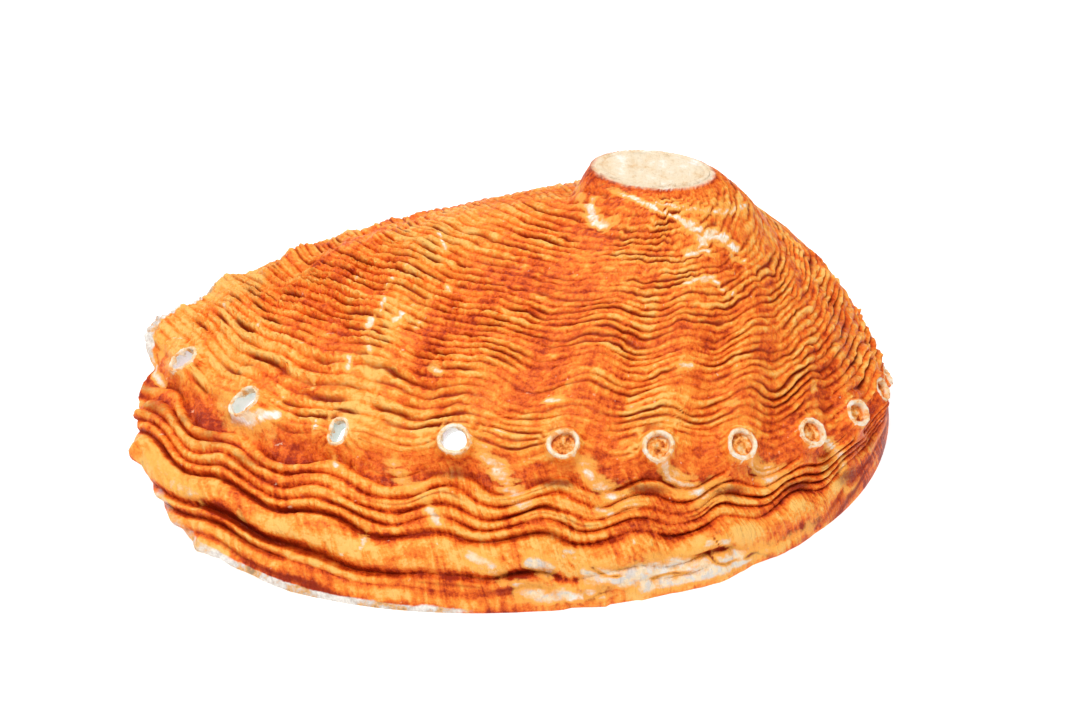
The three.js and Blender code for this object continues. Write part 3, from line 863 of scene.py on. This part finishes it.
def tube(skin, patch, at, size, is_open, seed):
    """Rings from the cut block up the outside of a tube, over its rim and down its bore."""
    bore = HOLE_RADIUS * size
    worn = 0.40 + 0.60 * float(ease((at - 18) / 34))
    top = (KEEL_HEIGHT * 0.7 + TUBE_HEIGHT * size * 0.95) * worn
    young = at > 140
    rim_width = RIM_WIDTH * (0.7 if young else 0.85)
    if young:
        top = top * 0.5
    tilt = math.radians(TUBE_TILT - 16 * float(ease((at - 88) / 40)))
    axis = patch.normal * math.cos(tilt) - patch.down * math.sin(tilt)
    axis /= np.linalg.norm(axis)
    turn = int(np.sign(np.dot(np.cross(patch.side, patch.down), patch.normal)))
    wobble = 1 + 0.045 * np.cos(2 * patch.angle + seed) + 0.03 * np.cos(3 * patch.angle - 2 * seed)
    if young:
        # The newest openings are still slits, long across the row.
        longest = math.radians(-45 - 1.5 * (170.5 - at))
        wobble = wobble + (0.10 if size > 1.1 else 0.24) * np.cos(2 * (patch.angle - longest))
    uneven = 0.14 * np.cos(patch.angle + 1.7 * seed) + 0.08 * np.cos(3 * patch.angle + seed)
    level = top * 0.95 + uneven
    lower = 0.5 + 0.5 * np.sin(patch.angle)
    last = patch.ring

    def join(ring, kind=0):
        nonlocal last
        pair = (last, ring) if turn > 0 else (last[::-1], ring[::-1])
        skin.strip(*pair, kind)
        last = ring

    flare = flare_of(at, bore)
    for n in range(1, 9):
        points, traits = patch.places(mix(patch.radius, bore + flare, n / 8))
        join(skin.add(points, traits))
    for extra, share in TUBE_WALL:
        # The lower side of the wall is steeper than the upper side.
        extra = RIM_WIDTH + (extra - RIM_WIDTH) * mix(1, 0.5, lower) * flare / FLARE
        radius = bore * wobble + extra * rim_width / 0.72
        points, traits = patch.places(radius)
        flutes = 0.07 * np.cos(11 * patch.angle + 2 * seed) * share * (1 - share) * 4
        up = ring_points(patch, axis, radius + flutes, level - 0.1)
        points = mix(points, up, share)
        traits[:, RIM] = float(ease((share - 0.84) / 0.14)) * min(1, worn + 0.2)
        traits[:, TONE] += 0.10 * share
        traits[:, CREAM_MARK] = np.maximum(traits[:, CREAM_MARK], 0.45 * share * lower ** 2)
        traits[:, GROOVE_SHADE] *= 1 - 0.8 * share
        join(skin.add(points, traits))
    trait = traits.copy()
    trait[:, CREST:] = 0
    trait[:, RIM] = 1
    for extra, rise in TUBE_RIM:
        nicks = 0.05 * np.cos(7 * patch.angle + seed * 3) + 0.04 * np.cos(13 * patch.angle + seed)
        radius = bore * wobble + extra * rim_width / RIM_WIDTH
        join(skin.add(ring_points(patch, axis, radius, level + rise + nicks), trait))
    if is_open:
        for depth, narrow in OPEN_BORE:
            height = mix(level, top - 3.0, min(1, depth / 2.5)) - 0.16
            points = ring_points(patch, axis, bore * wobble - narrow, height)
            join(skin.add(points, trait), 0 if depth < 1 else 1)
        return last
    for shrink, depth, floor in HEALED:
        healed = trait.copy()
        healed[:, RIM] = 1 - floor
        healed[:, FLOOR] = floor
        lumps = 0.16 * noise(np.cos(patch.angle) * 2 + seed, np.sin(patch.angle) * 2 + shrink * 3, 40) * floor
        radius = np.maximum(bore * wobble - shrink, bore * 0.12)
        height = mix(level, top * 0.95, min(1, depth)) - depth + lumps
        join(skin.add(ring_points(patch, axis, radius, height), healed))
    middle = skin.add((patch.centre + axis * (top * 0.95 - 0.85))[None], healed[:1])
    fan = np.stack([np.full(len(last), middle[0]), last, np.roll(last, -1)], -1)
    skin.triangles(fan if turn > 0 else fan[:, ::-1], 0)
    return None


def shell_skin():
    """The whole shell as one closed skin: outside, lip, inside, tubes and bores."""
    skin = Skin()
    phis = column_angles(COLUMNS)
    steps = (np.arange(1, OUTER_ROWS + 1) / OUTER_ROWS) ** 0.97
    points, traits = outer(phis[None, :], steps[:, None])
    outside = skin.add(points, traits).reshape(OUTER_ROWS, COLUMNS)
    inner_steps = np.arange(1, INNER_ROWS + 1) / INNER_ROWS
    points, traits = inner(phis[None, :], inner_steps[:, None])
    inside = skin.add(points, traits).reshape(INNER_ROWS, COLUMNS)

    outer_cut = np.zeros((OUTER_ROWS, COLUMNS), bool)
    inner_cut = np.zeros((INNER_ROWS, COLUMNS), bool)
    for seed, (at, size, is_open) in enumerate(HOLES):
        bore = HOLE_RADIUS * size
        patch = Patch(outer, phis, steps, outside, at, bore + flare_of(at, bore) + 0.7)
        outer_cut |= patch.cells(outer_cut.shape)
        end = tube(skin, patch, at, size, is_open, seed)
        if is_open:
            under = Patch(inner, phis, inner_steps, inside, at, bore + 1.2)
            inner_cut |= under.cells(inner_cut.shape)
            turn = np.dot(np.cross(patch.side, patch.down), patch.normal)
            skin.zip(end, patch.angle * np.sign(turn), under.ring, under.angle * np.sign(turn), 1)

    pole, _ = outer(0.0, 0.0)
    top = skin.add(pole, np.eye(len(TRAITS))[SPIRE])
    skips = column_skips(steps)
    first = outside[0][::skips[0]]
    skin.triangles(np.stack([np.full(len(first), top[0]), np.roll(first, -1), first], -1), 0)
    for r in range(OUTER_ROWS - 1):
        upper, lower = outside[r][::skips[r]], outside[r + 1][::skips[r + 1]]
        if len(lower) > len(upper):
            skin.widen(upper, lower, 0)
        else:
            skin.strip(upper, lower, 0, ~outer_cut[r][::skips[r]])

    last = outside[-1]
    base = margin_height(phis)
    margin, lip_traits = outer(phis, np.ones(COLUMNS))
    direction = np.stack([np.cos(phis), -np.sin(phis)], -1)
    for inset, rise in [(0.10, 0.08), (0.32, 0.0), (LAND, 0.0)]:
        ring = margin.copy()
        ring[:, :2] -= direction * inset
        ring[:, 2] = base + rise
        lip = lip_traits.copy()
        lip[:, CREST:GROOVE_SHADE + 1] = 0
        ring = skin.add(ring, lip)
        skin.strip(last, ring, 0)
        last = ring
    skin.strip(last, inside[-1], 1)
    skips = column_skips(inner_steps)
    for r in range(INNER_ROWS - 1, 0, -1):
        upper, lower = inside[r - 1][::skips[r - 1]], inside[r][::skips[r]]
        if len(lower) > len(upper):
            skin.widen(upper, lower, 1, turned=True)
        else:
            skin.strip(lower, upper, 1, ~inner_cut[r - 1][::skips[r]])
    first = inside[0][::skips[0]]
    under_top = skin.add(points[0].mean(0)[None], traits[0, :1])
    skin.triangles(np.stack([np.full(len(first), under_top[0]), first, np.roll(first, -1)], -1), 1)
    return skin


def mesh_from(skin, name):
    """A Blender mesh with the traits as attributes, without the points that the cuts left unused."""
    points, traits = np.concatenate(skin.points), np.concatenate(skin.traits)
    faces, kinds = np.concatenate(skin.faces), np.concatenate(skin.kinds)
    used, faces = np.unique(faces, return_inverse=True)
    points, traits, faces = points[used] * MM, traits[used], faces.reshape(-1, 3)
    mesh = bpy.data.meshes.new(name)
    mesh.vertices.add(len(points))
    mesh.vertices.foreach_set("co", points.astype(np.float32).ravel())
    mesh.loops.add(faces.size)
    mesh.loops.foreach_set("vertex_index", faces.astype(np.int32).ravel())
    mesh.polygons.add(len(faces))
    mesh.polygons.foreach_set("loop_start", np.arange(0, faces.size, 3, dtype=np.int32))
    mesh.polygons.foreach_set("material_index", kinds.astype(np.int32))
    mesh.polygons.foreach_set("use_smooth", np.ones(len(faces), bool))
    for n, trait in enumerate(TRAITS):
        layer = mesh.attributes.new(trait, "FLOAT", "POINT")
        layer.data.foreach_set("value", traits[:, n].astype(np.float32))
    mesh.update()
    mesh.validate()
    return mesh


def thin_out(obj, most):
    """Fewer triangles where the surface is flat, keeping the relief."""
    modifier = obj.modifiers.new("thin", "DECIMATE")
    modifier.ratio = min(1, most / len(obj.data.polygons))
    modifier.use_collapse_triangulate = True
    evaluated = obj.evaluated_get(bpy.context.evaluated_depsgraph_get())
    mesh = bpy.data.meshes.new_from_object(evaluated)
    obj.modifiers.clear()
    obj.data = mesh


# ---- shell ----

shell = bpy.data.objects.new("shell_finished", mesh_from(shell_skin(), "shell_finished"))
bpy.context.scene.collection.objects.link(shell)
thin_out(shell, MOST_TRIANGLES)
shell.data.set_sharp_from_angle(angle=SHARP_ANGLE)
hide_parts("shell")
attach(shell, "root")


# ---- materials ----


class Nodes:
    """Short ways to add nodes to a material and join them."""

    def __init__(self, material):
        self.tree = material.node_tree
        self.tree.nodes.clear()

    def new(self, kind, **settings):
        made = self.tree.nodes.new("ShaderNode" + kind)
        for name, value in settings.items():
            setattr(made, name, value)
        return made

    def put(self, value, socket):
        if isinstance(value, bpy.types.NodeSocket):
            self.tree.links.new(value, socket)
        else:
            socket.default_value = value

    def trait(self, name):
        return self.new("Attribute", attribute_name=name).outputs["Fac"]

    def math(self, operation, a, b, c=0.0):
        made = self.new("Math", operation=operation)
        for value, socket in zip((a, b, c), made.inputs):
            self.put(value, socket)
        return made.outputs[0]

    def times(self, a, b):
        return self.math("MULTIPLY", a, b)

    def plus(self, a, b):
        return self.math("ADD", a, b)

    def minus(self, a, b):
        return self.math("SUBTRACT", a, b)

    def times_plus(self, a, b, c):
        return self.math("MULTIPLY_ADD", a, b, c)

    def centred(self, value, amount):
        """A value from 0 to 1, moved to lie round 0 and scaled."""
        return self.times(self.minus(value, 0.5), amount)

    def vector(self, x, y):
        made = self.new("CombineXYZ")
        for value, socket in zip((x, y), made.inputs):
            self.put(value, socket)
        return made.outputs[0]

    def noise(self, vector, scale, detail=3.0, roughness=0.55):
        made = self.new("TexNoise")
        self.put(vector, made.inputs["Vector"])
        made.inputs["Scale"].default_value = scale
        made.inputs["Detail"].default_value = detail
        made.inputs["Roughness"].default_value = roughness
        return made.outputs["Fac"]

    def stretched(self, a, a_scale, b, b_scale, detail=3.0, roughness=0.6):
        """Noise over two traits, each with a scale of its own."""
        place = self.vector(self.times(a, a_scale), self.times(b, b_scale))
        return self.noise(place, 1.0, detail, roughness)

    def between(self, value, low, high, to_low=0.0, to_high=1.0):
        """Value eased from low..high to to_low..to_high."""
        made = self.new("MapRange", interpolation_type="SMOOTHSTEP")
        for v, name in ((value, 0), (low, 1), (high, 2), (to_low, 3), (to_high, 4)):
            self.put(v, made.inputs[name])
        return made.outputs[0]

    def mix(self, part, a, b):
        made = self.new("Mix", data_type="RGBA", clamp_factor=True)
        self.put(part, made.inputs["Factor"])
        for value, name in ((a, "A"), (b, "B")):
            socket = [s for s in made.inputs if s.name == name and s.type == "RGBA"][0]
            self.put(value if isinstance(value, bpy.types.NodeSocket) else (*value, 1), socket)
        return [s for s in made.outputs if s.type == "RGBA"][0]

    def ramp(self, value, stops):
        made = self.new("ValToRGB")
        ramp = made.color_ramp
        while len(ramp.elements) < len(stops):
            ramp.elements.new(0.5)
        for element, (place, colour) in zip(ramp.elements, stops):
            element.position = place
            element.color = (*colour, 1)
        self.put(value, made.inputs[0])
        return made.outputs[0]

    def finish(self, colour, roughness, height, bump_distance, **constant):
        shader = self.new("BsdfPrincipled")
        self.put(colour, shader.inputs["Base Color"])
        self.put(roughness, shader.inputs["Roughness"])
        for name, value in constant.items():
            shader.inputs[name.replace("_", " ")].default_value = value
        if height is not None:
            bump = self.new("Bump")
            bump.inputs["Strength"].default_value = 1.0
            bump.inputs["Distance"].default_value = bump_distance
            self.put(height, bump.inputs["Height"])
            self.tree.links.new(bump.outputs[0], shader.inputs["Normal"])
        out = self.new("OutputMaterial")
        self.tree.links.new(shader.outputs[0], out.inputs["Surface"])


def material(name):
    made = bpy.data.materials.new(name)
    made.use_nodes = True
    return made, Nodes(made)


DEEP_RED = (0.34, 0.022, 0.002)
RED = (0.60, 0.068, 0.005)
RED_ORANGE = (0.80, 0.125, 0.010)
ORANGE = (0.90, 0.200, 0.020)
YELLOW_ORANGE = (0.96, 0.33, 0.040)
YELLOW = (0.97, 0.52, 0.13)
# Painted shade in the grooves, under the tubes and in the hollow below the open holes.
GROOVE_SHADE_BROWN = (0.27, 0.018, 0.001)
HALO = (0.98, 0.45, 0.08)
CREAM = (0.92, 0.72, 0.48)
CHALK = (0.94, 0.88, 0.80)
SPIRE_CREAM = (0.80, 0.64, 0.44)
PEARL_GREY = (0.70, 0.62, 0.56)
# Colour ramps: where each colour stands on the scale of the tone, and the colour.
SHELL_COLOURS = [
    (0.36, DEEP_RED), (0.46, RED), (0.54, RED_ORANGE), (0.62, ORANGE), (0.73, YELLOW_ORANGE), (0.86, YELLOW),
]
LIP_COLOURS = [
    (0.34, (0.42, 0.26, 0.14)), (0.42, (0.80, 0.42, 0.16)), (0.50, PEARL_GREY), (0.60, CHALK),
    (0.7, (0.78, 0.70, 0.66)),
]
RIM_COLOURS = [
    (0.38, (0.88, 0.36, 0.10)), (0.46, (0.93, 0.64, 0.36)), (0.58, (0.92, 0.80, 0.64)), (0.7, CHALK),
]
HEALED_COLOURS = [
    (0.33, (0.32, 0.04, 0.006)), (0.42, (0.74, 0.19, 0.025)), (0.52, (0.93, 0.40, 0.08)),
    (0.64, (0.95, 0.68, 0.36)),
]
SPIRE_COLOURS = [
    (0.28, (0.55, 0.28, 0.10)), (0.36, (0.74, 0.52, 0.30)), (0.45, SPIRE_CREAM), (0.58, (0.84, 0.71, 0.53)),
    (0.7, CHALK),
]
PEARL_COLOURS = [
    (0.34, (0.42, 0.62, 0.60)), (0.42, (0.62, 0.74, 0.66)), (0.48, (0.80, 0.80, 0.76)),
    (0.54, (0.84, 0.66, 0.68)), (0.62, (0.66, 0.62, 0.80)), (0.72, (0.82, 0.84, 0.82)),
]
# Depth in metres of the bump that the finest grain makes, outside and inside.
GRAIN_BUMP = 0.00030
PEARL_BUMP = 0.0004


def outer_material():
    made, n = material("ribbed_orange_shell")
    phase, along, growth = n.trait("phase"), n.trait("along"), n.trait("growth")
    crest, groove, cream, broad = n.trait("crest"), n.trait("groove"), n.trait("cream"), n.trait("tone")
    spire, rim, floor, edge = n.trait("spire"), n.trait("rim"), n.trait("floor"), n.trait("edge")
    place = n.new("TexCoord").outputs["Object"]

    blotches = n.noise(place, 90, 3, 0.6)
    streaks = n.stretched(phase, 0.8, along, 0.16, 4, 0.65)
    bands = n.stretched(growth, 0.40, phase, 0.05)
    grain = n.noise(place, 2100, 3, 0.7)
    beads = n.noise(place, 900, 2, 0.6)
    tone = n.plus(broad, 0.635)
    for value, amount in ((blotches, 0.34), (streaks, 0.62), (bands, 0.36), (grain, 0.40), (beads, 0.36)):
        tone = n.plus(tone, n.centred(value, amount))
    # Painted highlight: crests lighter and yellower, and the grooves between them redder.
    tone = n.times_plus(n.minus(crest, 0.5), 0.27, tone)
    lower = n.between(phase, -1.5, -4.0)
    slant = n.vector(n.times_plus(phase, -1.15, n.times(along, 1.35)), n.times(phase, 0.16))
    slanting = n.noise(slant, 1.0, 2, 0.5)
    tone = n.plus(tone, n.times(n.centred(slanting, 0.5), lower))
    colour = n.ramp(tone, SHELL_COLOURS)

    # Painted shade: the groove trait darkens the colour towards brown in the grooves, under the tubes and in
    # the hollow below the open holes.
    ragged = n.plus(groove, n.centred(beads, 0.35))
    colour = n.mix(n.between(ragged, 0.10, 0.95, 0.0, 0.95), colour, GROOVE_SHADE_BROWN)

    speck = n.stretched(phase, 1.1, along, 0.7)
    flecks = n.times(n.between(speck, 0.67, 0.75), n.between(groove, 0.5, 0.1, 0.0, 0.8))
    colour = n.mix(flecks, colour, CREAM)

    broken = n.noise(place, 620, 4, 0.7)
    strands = n.stretched(phase, 1.3, along, 0.25)
    amount = n.plus(cream, n.plus(n.centred(broken, 0.9), n.centred(strands, 0.9)))
    amount = n.minus(amount, n.times(groove, 0.7))
    inside = n.between(cream, 0.03, 0.25)
    halo = n.times(n.between(amount, 0.05, 0.38, 0.0, 0.8), inside)
    colour = n.mix(halo, colour, HALO)
    core = n.times(n.between(amount, 0.44, 0.86), inside)
    pale = n.mix(n.times(lower, n.between(blotches, 0.35, 0.6)), CHALK, PEARL_GREY)
    colour = n.mix(core, colour, n.mix(n.between(beads, 0.42, 0.6), CREAM, pale))

    lip_tone = n.noise(place, 380, 4, 0.65)
    lip = n.ramp(lip_tone, LIP_COLOURS)
    lip_amount = n.plus(edge, n.centred(broken, 0.5))
    colour = n.mix(n.times(n.between(lip_amount, 0.3, 0.6), n.between(edge, 0.02, 0.2)), colour, lip)

    rim_amount = n.plus(rim, n.centred(broken, 0.5))
    rim_tone = n.ramp(broken, RIM_COLOURS)
    colour = n.mix(n.times(n.between(rim_amount, 0.35, 0.7), n.between(rim, 0.02, 0.3)), colour, rim_tone)
    healed = n.ramp(n.noise(place, 1100, 3, 0.6), HEALED_COLOURS)
    colour = n.mix(floor, colour, healed)

    worn = n.ramp(n.noise(place, 420, 5, 0.7), SPIRE_COLOURS)
    # Painted shade: the worn spire is darker in its ring lines and grooves.
    worn = n.mix(n.between(groove, 0.1, 0.6, 0.0, 0.8), worn, (0.55, 0.27, 0.12))
    colour = n.mix(spire, colour, worn)

    striae = n.stretched(growth, 2.6, phase, 0.35, 2, 0.5)
    off_spire = n.minus(1.0, spire)
    height = n.times_plus(n.times(striae, off_spire), 0.5, n.times(grain, 0.7))
    height = n.times_plus(beads, 0.9, height)
    height = n.times_plus(n.times(slanting, lower), 1.4, height)
    roughness = n.between(n.noise(place, 300, 3), 0.3, 0.7, 0.30, 0.52)
    n.finish(colour, roughness, height, GRAIN_BUMP, Specular_IOR_Level=0.17)
    return made


def nacre_material():
    made, n = material("pearly_nacre")
    place = n.new("TexCoord").outputs["Object"]
    waves = n.noise(place, 28, 4, 0.65)
    swirl = n.noise(place, 55, 5, 0.7)
    tone = n.times_plus(waves, 0.5, n.times(swirl, 0.5))
    colour = n.ramp(tone, PEARL_COLOURS)
    fine = n.noise(place, 260, 3, 0.6)
    colour = n.mix(n.between(fine, 0.4, 0.7, 0.0, 0.4), colour, (0.90, 0.86, 0.82))
    height = n.times_plus(fine, 0.6, n.times(swirl, 1.5))
    n.finish(
        colour, n.between(swirl, 0.3, 0.7, 0.16, 0.30), height, PEARL_BUMP,
        Specular_IOR_Level=0.7, Coat_Weight=0.6, Coat_Roughness=0.08, Metallic=0.25,
    )
    return made


shell.data.materials.append(outer_material())
shell.data.materials.append(nacre_material())

# ---- studio ----

# Lengths here are in metres, apart from those marked mm.
FLOOR_REACH = 6.0
FLOOR_GREY = 0.55
FLOOR_GLOW = 0.82
WORLD_GLOW = 0.27
CAMERA_ELEVATION = math.radians(42)
CAMERA_DISTANCE = 0.520
CAMERA_LENS = 119.8  # mm, for a sensor 36 mm wide
AIM_HEIGHT = 12  # mm, of the point that the camera stands round
# How far right of that point and above it the camera looks, in mm.
LOOK_RIGHT = 3.33
LOOK_UP = 1.14
# Lights: name, place, target, size and power.
LIGHTS = [
    ("key", (-0.12, -0.16, 0.68), (0, 0, 0.01), 0.24, 3.8),
    ("fill", (0.45, -0.35, 0.35), (0, 0, 0.01), 0.5, 0.8),
    ("rim", (-0.25, 0.50, 0.45), (0, 0, 0.02), 0.5, 1.8),
]


def make_floor():
    mesh = bpy.data.meshes.new("floor")
    corners = [(-1, -1), (1, -1), (1, 1), (-1, 1)]
    points = [(x * FLOOR_REACH, y * FLOOR_REACH, cad_low[2]) for x, y in corners]
    mesh.from_pydata(points, [], [(0, 1, 2, 3)])
    made = bpy.data.objects.new("floor", mesh)
    bpy.context.scene.collection.objects.link(made)
    paint, n = material("pale_floor")
    n.finish(
        (FLOOR_GREY, FLOOR_GREY, FLOOR_GREY, 1), 0.9, None, 0,
        Emission_Color=(1, 1, 1, 1), Emission_Strength=FLOOR_GLOW, Specular_IOR_Level=0,
    )
    mesh.materials.append(paint)


def area_light(name, place, target, size, power):
    data = bpy.data.lights.new(name, "AREA")
    data.shape = "DISK"
    data.size = size
    data.energy = power
    made = bpy.data.objects.new(name, data)
    made.location = place
    made.rotation_euler = (Vector(target) - Vector(place)).to_track_quat("-Z", "Y").to_euler()
    bpy.context.scene.collection.objects.link(made)


def make_world():
    world = bpy.data.worlds.new("studio")
    world.use_nodes = True
    background = world.node_tree.nodes["Background"]
    background.inputs["Color"].default_value = (1, 1, 1, 1)
    background.inputs["Strength"].default_value = WORLD_GLOW
    bpy.context.scene.world = world


def make_camera():
    """The photograph's view: from the side with the holes, and well above it."""
    aim = Vector((MIDDLE[0], MIDDLE[1], AIM_HEIGHT)) * MM
    back = Vector((0, -math.cos(CAMERA_ELEVATION), math.sin(CAMERA_ELEVATION)))
    up = Vector((0, math.sin(CAMERA_ELEVATION), math.cos(CAMERA_ELEVATION)))
    place = aim + back * CAMERA_DISTANCE
    look = aim + Vector((LOOK_RIGHT, 0, 0)) * MM + up * LOOK_UP * MM
    data = bpy.data.cameras.new("camera")
    data.sensor_width = 36
    data.lens = CAMERA_LENS
    data.clip_start = 0.01
    data.clip_end = 50
    made = bpy.data.objects.new("camera", data)
    made.location = place
    made.rotation_euler = (look - place).to_track_quat("-Z", "Y").to_euler()
    bpy.context.scene.collection.objects.link(made)
    bpy.context.scene.camera = made


make_floor()
make_world()
make_camera()
for light in LIGHTS:
    area_light(*light)
bpy.context.scene.view_settings.view_transform = "Standard"
